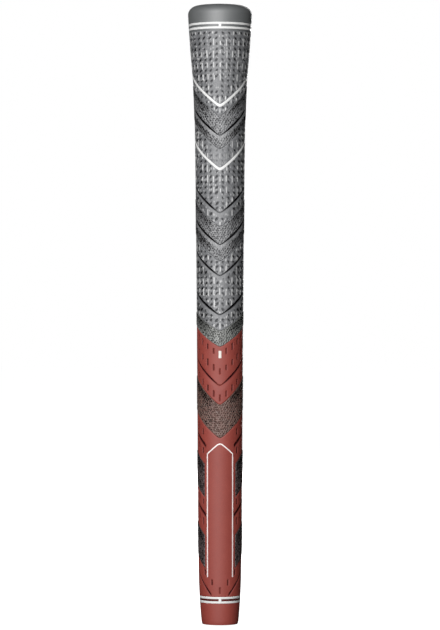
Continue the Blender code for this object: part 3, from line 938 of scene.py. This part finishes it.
# ------------------------------------------------------------------------------- materials
class Finish:
    """A material being built, with the few kinds of node that every finish here uses."""

    grain_span = (0.3, 0.7)  # nearly all values of a noise lie between these

    def __init__(self, name, ior, specular):
        self.material = bpy.data.materials.new(name)
        self.material.use_nodes = True
        self.tree = self.material.node_tree
        self.shader = self.tree.nodes["Principled BSDF"]
        self.shader.inputs["IOR"].default_value = ior
        self.shader.inputs["Specular IOR Level"].default_value = specular
        self.place = self.node("ShaderNodeTexCoord", {}, "Object")

    def node(self, kind, inputs, output, **settings):
        """Adds a node, with inputs from numbers or from other nodes, and gives its output."""
        node = self.tree.nodes.new(kind)
        for key, value in settings.items():
            setattr(node, key, value)
        for key, value in inputs.items():
            if isinstance(value, bpy.types.NodeSocket):
                self.tree.links.new(value, node.inputs[key])
            else:
                node.inputs[key].default_value = value
        return node.outputs[output]

    def noise(self, size, detail=3.0, stretch=(1, 1, 1)):
        """Noise with features about size across, drawn out along an axis by stretch."""
        scale = tuple(1 / (size * s) for s in stretch)
        place = self.node("ShaderNodeMapping", {"Vector": self.place, "Scale": scale}, "Vector")
        inputs = {"Vector": place, "Scale": 1.0, "Detail": detail}
        return self.node("ShaderNodeTexNoise", inputs, "Fac")

    def channel(self, name):
        """A value that the mesh holds for each point."""
        return self.node("ShaderNodeAttribute", {}, "Fac", attribute_name=name)

    def map(self, value, low, high, to_low=0.0, to_high=1.0):
        inputs = {"Value": value, "From Min": low, "From Max": high}
        inputs |= {"To Min": to_low, "To Max": to_high}
        return self.node("ShaderNodeMapRange", inputs, "Result")

    def darken_with_painted_shade(self, colour, dark):
        """Paints shade into the pits, slits, grooves, ring gap and wing shadows of the relief. The
        painted shade mixes the colour towards dark and also drives Metallic, so that a shaded
        place, being near black, has no shine either."""
        pit_and_painted_shade = self.channel("pit_and_painted_shade")
        self.tree.links.new(pit_and_painted_shade, self.shader.inputs["Metallic"])
        return self.mix(pit_and_painted_shade, colour, dark)

    def mix(self, share, first, second):
        """Colours are outputs of nodes, or (red, green, blue)."""
        inputs = {0: share}
        for socket, colour in ((6, first), (7, second)):
            plain = isinstance(colour, tuple)
            inputs[socket] = (*colour, 1) if plain else colour
        return self.node("ShaderNodeMix", inputs, 2, data_type="RGBA")

    def done(self, colour, grain, roughness, bump_depth, bump=None):
        """Links the colour, a roughness that follows the grain, and a bump, usually the grain."""
        link = self.tree.links.new
        link(colour, self.shader.inputs["Base Color"])
        link(self.map(grain, *self.grain_span, *roughness), self.shader.inputs["Roughness"])
        inputs = {"Height": grain if bump is None else bump, "Distance": bump_depth}
        normal = self.node("ShaderNodeBump", inputs, "Normal")
        link(normal, self.shader.inputs["Normal"])
        return self.material


def shade(colour, share):
    return tuple(share * part for part in colour)


def corded_rubber():
    """Grey rubber with felted fibres and specks, and light cord ends."""
    finish = Finish("corded_rubber", ior=DENSE_IOR, specular=1.0)
    grain = finish.noise(0.9 * MM, detail=4)
    fibres = finish.noise(0.28 * MM, detail=2, stretch=(1, 1, 4))
    fleece = finish.map(fibres, 0.55, 0.68, to_high=0.5)
    speck = finish.map(finish.noise(0.2 * MM, detail=1), 0.6, 0.7, to_high=0.45)
    colour = finish.mix(grain, *CORD_GREYS)
    colour = finish.mix(fleece, colour, CORD_FLEECE)
    colour = finish.mix(speck, colour, CORD_SPECK)
    colour = finish.mix(finish.channel("thread"), colour, CORD_THREAD)
    colour = finish.darken_with_painted_shade(colour, CORD_PIT_SHADE)
    return finish.done(colour, grain, (0.6, 0.73), bump_depth=0.05 * MM, bump=fleece)


def mesh_rubber(name):
    """Rubber with a face worn at random, with painted highlight specks as if its bumps caught the
    light, and painted shade in its pits.
    """
    ior, face, painted_glint_colour = MESH_FINISHES[name]
    finish = Finish(name, ior, specular=1.0)
    grain = finish.noise(0.6 * MM, detail=3)
    worn = finish.map(finish.noise(2.5 * MM, detail=4), 0.35, 0.7)
    # Painted highlight specks, as if the mesh's bumps caught the light
    painted_glint = finish.map(finish.noise(0.45 * MM, detail=2), 0.52, 0.62, to_high=0.75)
    colour = finish.mix(worn, shade(face, MESH_SHADE), face)
    colour = finish.mix(painted_glint, colour, painted_glint_colour)
    colour = finish.darken_with_painted_shade(colour, MESH_PIT_SHADE)
    return finish.done(colour, grain, (0.56, 0.7), bump_depth=0.05 * MM)


def plain_rubber():
    finish = Finish("plain_rubber", ior=USUAL_IOR, specular=0.8)
    grain = finish.noise(0.35 * MM, detail=4)
    cloud = finish.noise(6 * MM, detail=3)
    colour = finish.mix(cloud, *RUBBER_REDS)
    colour = finish.mix(finish.map(grain, 0.45, 0.75, to_high=0.3), colour, RUBBER_GRAIN)
    colour = finish.darken_with_painted_shade(colour, RUBBER_PIT_SHADE)
    return finish.done(colour, grain, (0.6, 0.74), bump_depth=0.04 * MM)


def cap_rubber():
    finish = Finish("cap_rubber", ior=DENSE_IOR, specular=1.0)
    grain = finish.noise(0.3 * MM, detail=4)
    cloud = finish.noise(5 * MM, detail=3)
    colour = finish.mix(cloud, *CAP_GREYS)
    return finish.done(colour, grain, (0.6, 0.68), bump_depth=0.03 * MM)


def core_rubber():
    finish = Finish("core_rubber", ior=USUAL_IOR, specular=0.5)
    grain = finish.noise(0.6 * MM, detail=4)
    colour = finish.mix(grain, *CORE_GREYS)
    return finish.done(colour, grain, (0.7, 0.9), bump_depth=0.05 * MM)


def paint(name, colour):
    """Paint that is a little darker where it lies thin."""
    finish = Finish(name, ior=USUAL_IOR, specular=0.5)
    grain = finish.noise(0.25 * MM, detail=3)
    thin = finish.map(finish.noise(2.5 * MM, detail=3), 0.45, 0.8)
    mixed = finish.mix(thin, colour, shade(colour, THIN_PAINT_SHADE))
    return finish.done(mixed, grain, (0.4, 0.55), bump_depth=0.02 * MM)


# ----------------------------------------------------------------------------------- pieces
def add_skin_ring(name, material, relief_between, spacing, crisp_edges=()):
    """A ring of skin between two seams, with the lining behind it."""
    low, high = skin_span(name)
    levels = row_levels(low, high, spacing, crisp_edges)
    angles = round_angles(COLUMNS)
    inner = [(follow_chevrons(level, angles), lining_radius) for level in (high, low)]
    add_skin(name, material, angles, levels, relief_between(name, low, high), inner)


def add_cord_section(name, material):
    edges = []
    if name in STRIPE_LEVELS:
        edges = [STRIPE_LEVELS[name] + side * STRIPE_WIDTH / 2 for side in (-1, 1)]
    add_skin_ring(name, material, cord_relief, ROW_SPACING, edges)


def add_side_inlay(name, material):
    """A band round the back and sides, let into a pocket of the plain rubber."""
    low, high = SIDE_INLAYS[name]
    low, high = low + POCKET_CLEARANCE, high - POCKET_CLEARANCE
    levels = row_levels(low, high, MESH_BAND_ROW_SPACING)
    turn = FULL_TURN - 2 * SIDE_INLAY_START
    columns = round(COLUMNS * turn / FULL_TURN)
    angles = SIDE_INLAY_START + np.linspace(0, turn, columns)
    theta, level = np.meshgrid(angles, levels)
    z = follow_chevrons(level, theta)
    height, channels = mesh_relief(name, low, high)(theta, level, z)
    from_end = (from_front(theta) - SIDE_INLAY_START) * outer_radius(z)
    height = height - seam_rounding(from_end)
    # Painted shade of the inlay's pits and wing shadow, faded out near its ends
    pit_and_painted_shade = channels["pit_and_painted_shade"] * ramp(from_end, *MESH_END_MARGIN)
    outside = place(outer_radius(z) + height, z, theta)
    inside = place(outer_radius(z) - INLAY_DEPTH, z, theta)[::-1]
    channels = {"pit_and_painted_shade": np.concatenate([pit_and_painted_shade, np.zeros_like(z)])}
    mesh = make_mesh(name, [(np.concatenate([outside, inside]), False)], channels)
    add_piece(name + "_skin", mesh, material, name)


def add_lower_rubber(material):
    """The red skin from the lowest band to the mouth, where its skirt reaches in to the bore."""
    name = "rubber_section_lower"
    low, high = skin_span(name)
    edges = [edge for span in SIDE_INLAYS.values() for edge in span]
    for ring in ring_heights("mouth_rings"):
        edges += [ring + side * (RING_WIDTH / 2 + CRISP_EDGE) for side in (-1, 1)]
    start, end = MOUTH_GROOVE_LEVELS
    levels = np.unique(np.concatenate([
        row_levels(low, start, RUBBER_ROW_SPACING, edges),
        row_levels(start, end, MOUTH_GROOVE_ROW_SPACING),
        row_levels(end, high, RUBBER_ROW_SPACING, edges),
    ]))
    angles = round_angles(RUBBER_COLUMNS, (SIDE_INLAY_START, FULL_TURN - SIDE_INLAY_START))
    ledge = bottom_of(CORE) - CORE_GAP
    inner = [
        (follow_chevrons(high, angles), lining_radius),
        (ledge, lining_radius),
        (ledge, bore_radius),
        (low, bore_radius),
    ]
    add_skin(name, material, angles, levels, lower_rubber_relief(name, high), inner)


def add_core(material):
    """The sleeve under the skin, from the ledge above the mouth up to the cap."""
    heights = np.linspace(bottom_of(CORE), seam_below(CAP) - SEAM_CLEARANCE, CORE_ROWS)
    profile = [(lining_radius(z) - CORE_GAP, z) for z in heights]
    profile += [(bore_radius(z), z) for z in heights[::-1]]
    mesh = make_mesh(CORE, [turned_grid(profile, CORE_COLUMNS)])
    add_piece(CORE + "_turned", mesh, material, CORE)


def add_cap(material):
    """A turned cap with rounded edges, channels under its painted rings, and a vent."""
    low, top = seam_below(CAP) + SEAM_CLEARANCE, top_of(CAP)
    quarter = np.linspace(0, math.pi / 2, CAP_EDGE_POINTS)
    profile = []
    for turn in quarter:
        z = low + CAP_EDGE * (1 - math.cos(turn))
        profile.append((outer_radius(z) - CAP_EDGE * (1 - math.sin(turn)), z))
    half = RING_WIDTH / 2 + CRISP_EDGE
    for ring in ring_heights("cap_rings"):
        for z, depths in (
            (ring - half, (0, PAINT_THICKNESS)),
            (ring + half, (PAINT_THICKNESS, 0)),
        ):
            profile += [(outer_radius(z) - depth, z) for depth in depths]
    above_rings = top_of("cap_rings") + CAP_RING_MARGIN
    for z in np.linspace(above_rings, SHOULDER_HEIGHT, CAP_SIDE_POINTS):
        profile.append((outer_radius(z), z))
    rim = outer_radius(SHOULDER_HEIGHT) - SHOULDER_WIDTH
    for turn in np.linspace(0, math.pi / 2, CAP_SHOULDER_POINTS)[1:]:
        z = SHOULDER_HEIGHT + (CROWN_RIM_HEIGHT - SHOULDER_HEIGHT) * math.sin(turn)
        profile.append((rim + SHOULDER_WIDTH * math.cos(turn), z))
    for share in np.linspace(0, 1, CAP_CROWN_POINTS)[1:]:
        radius = rim + (VENT_RADIUS + VENT_EDGE - rim) * share
        profile.append((radius, top - (top - CROWN_RIM_HEIGHT) * (1 - share) ** 2))
    for turn in quarter[1:]:
        z = top - VENT_EDGE * (1 - math.cos(turn))
        profile.append((VENT_RADIUS + VENT_EDGE * (1 - math.sin(turn)), z))
    profile += [(VENT_RADIUS, BORE_DEPTH), (bore_radius(BORE_DEPTH), BORE_DEPTH)]
    profile.append((bore_radius(low), low))
    mesh = make_mesh(CAP, [turned_grid(profile, CAP_COLUMNS)])
    add_piece(CAP + "_turned", mesh, material, CAP)


# ----------------------------------------------------------------------------------- studio
def add_floor():
    """A white floor that sends no light to the grip."""
    mesh = bpy.data.meshes.new("floor")
    angles = np.linspace(0, FULL_TURN, FLOOR_SIDES, endpoint=False)
    circle = [(FLOOR_RADIUS * math.cos(a), FLOOR_RADIUS * math.sin(a)) for a in angles]
    mesh.from_pydata([(x, y, FLOOR_HEIGHT) for x, y in circle], [], [range(len(circle))])
    floor = bpy.data.objects.new("floor", mesh)
    bpy.context.scene.collection.objects.link(floor)
    floor.visible_diffuse = False
    floor.visible_glossy = False
    finish = Finish("floor", ior=USUAL_IOR, specular=0.0)
    tint = finish.noise(0.5, detail=2)
    colour = finish.mix(tint, *FLOOR_GREYS)
    finish.shader.inputs["Emission Color"].default_value = (1, 1, 1, 1)
    finish.shader.inputs["Emission Strength"].default_value = FLOOR_GLOW
    mesh.materials.append(finish.done(colour, tint, (0.8, 0.9), bump_depth=1 * MM))


def add_light(name, azimuth, height, size, brightness, shines):
    """A soft rectangular light that faces the grip's middle.

    azimuth is counted from the front towards +X. brightness is what a white surface facing the
    light would show. A light that doesn't shine makes no highlights.
    """
    light = bpy.data.lights.new(name, "AREA")
    light.shape = "RECTANGLE"
    light.size, light.size_y = size
    light.energy = brightness * (math.pi * LIGHT_DISTANCE) ** 2
    lamp = bpy.data.objects.new(name, light)
    bpy.context.scene.collection.objects.link(lamp)
    turn = math.radians(azimuth)
    lamp.location = (LIGHT_DISTANCE * math.sin(turn), -LIGHT_DISTANCE * math.cos(turn), height)
    towards_middle = Vector((0, 0, MIDDLE_HEIGHT)) - lamp.location
    lamp.rotation_euler = towards_middle.to_track_quat("-Z", "Y").to_euler()
    lamp.visible_camera = False
    lamp.visible_glossy = shines


def add_world():
    """White behind the object, and no light from it."""
    world = bpy.data.worlds.new("studio")
    world.use_nodes = True
    world.node_tree.nodes["Background"].inputs["Color"].default_value = (1, 1, 1, 1)
    world.cycles_visibility.diffuse = False
    world.cycles_visibility.glossy = False
    world.cycles_visibility.transmission = False
    bpy.context.scene.world = world


def add_camera():
    camera = bpy.data.objects.new("camera", bpy.data.cameras.new("camera"))
    bpy.context.scene.collection.objects.link(camera)
    camera.data.lens = CAMERA_LENS
    camera.location = CAMERA_PLACE
    camera.rotation_euler = (math.pi / 2, 0, 0)
    bpy.context.scene.camera = camera
    bpy.context.scene.view_settings.view_transform = "Standard"


def add_grip():
    cord, red = corded_rubber(), plain_rubber()
    white = paint("paint", WHITE_PAINT)
    add_cap(cap_rubber())
    add_core(core_rubber())
    for name in CORD_COLUMNS:
        add_cord_section(name, cord)
    add_skin_ring("rubber_section_upper", red, upper_rubber_relief, ROW_SPACING)
    add_lower_rubber(red)
    mesh = {name: mesh_rubber(name) for name in MESH_FINISHES}
    for name, finish in MESH_BANDS.items():
        add_skin_ring(name, mesh[finish], mesh_relief, MESH_BAND_ROW_SPACING)
    for name in SIDE_INLAYS:
        add_side_inlay(name, mesh["mesh_rubber_dark"])
    add_ring_pair("cap_rings", white)
    add_ring_pair("mouth_rings", white)
    add_chevron_stripe("chevron_stripe_upper", white)
    add_chevron_stripe("chevron_stripe_lower", white)
    add_panel_outline(paint("paint_pinkish", PANEL_PAINT))
    add_dash(paint("paint_cream", DASH_PAINT))


def add_studio():
    add_floor()
    add_world()
    for light in LIGHTS:
        add_light(*light)
    add_camera()


add_grip()
add_studio()
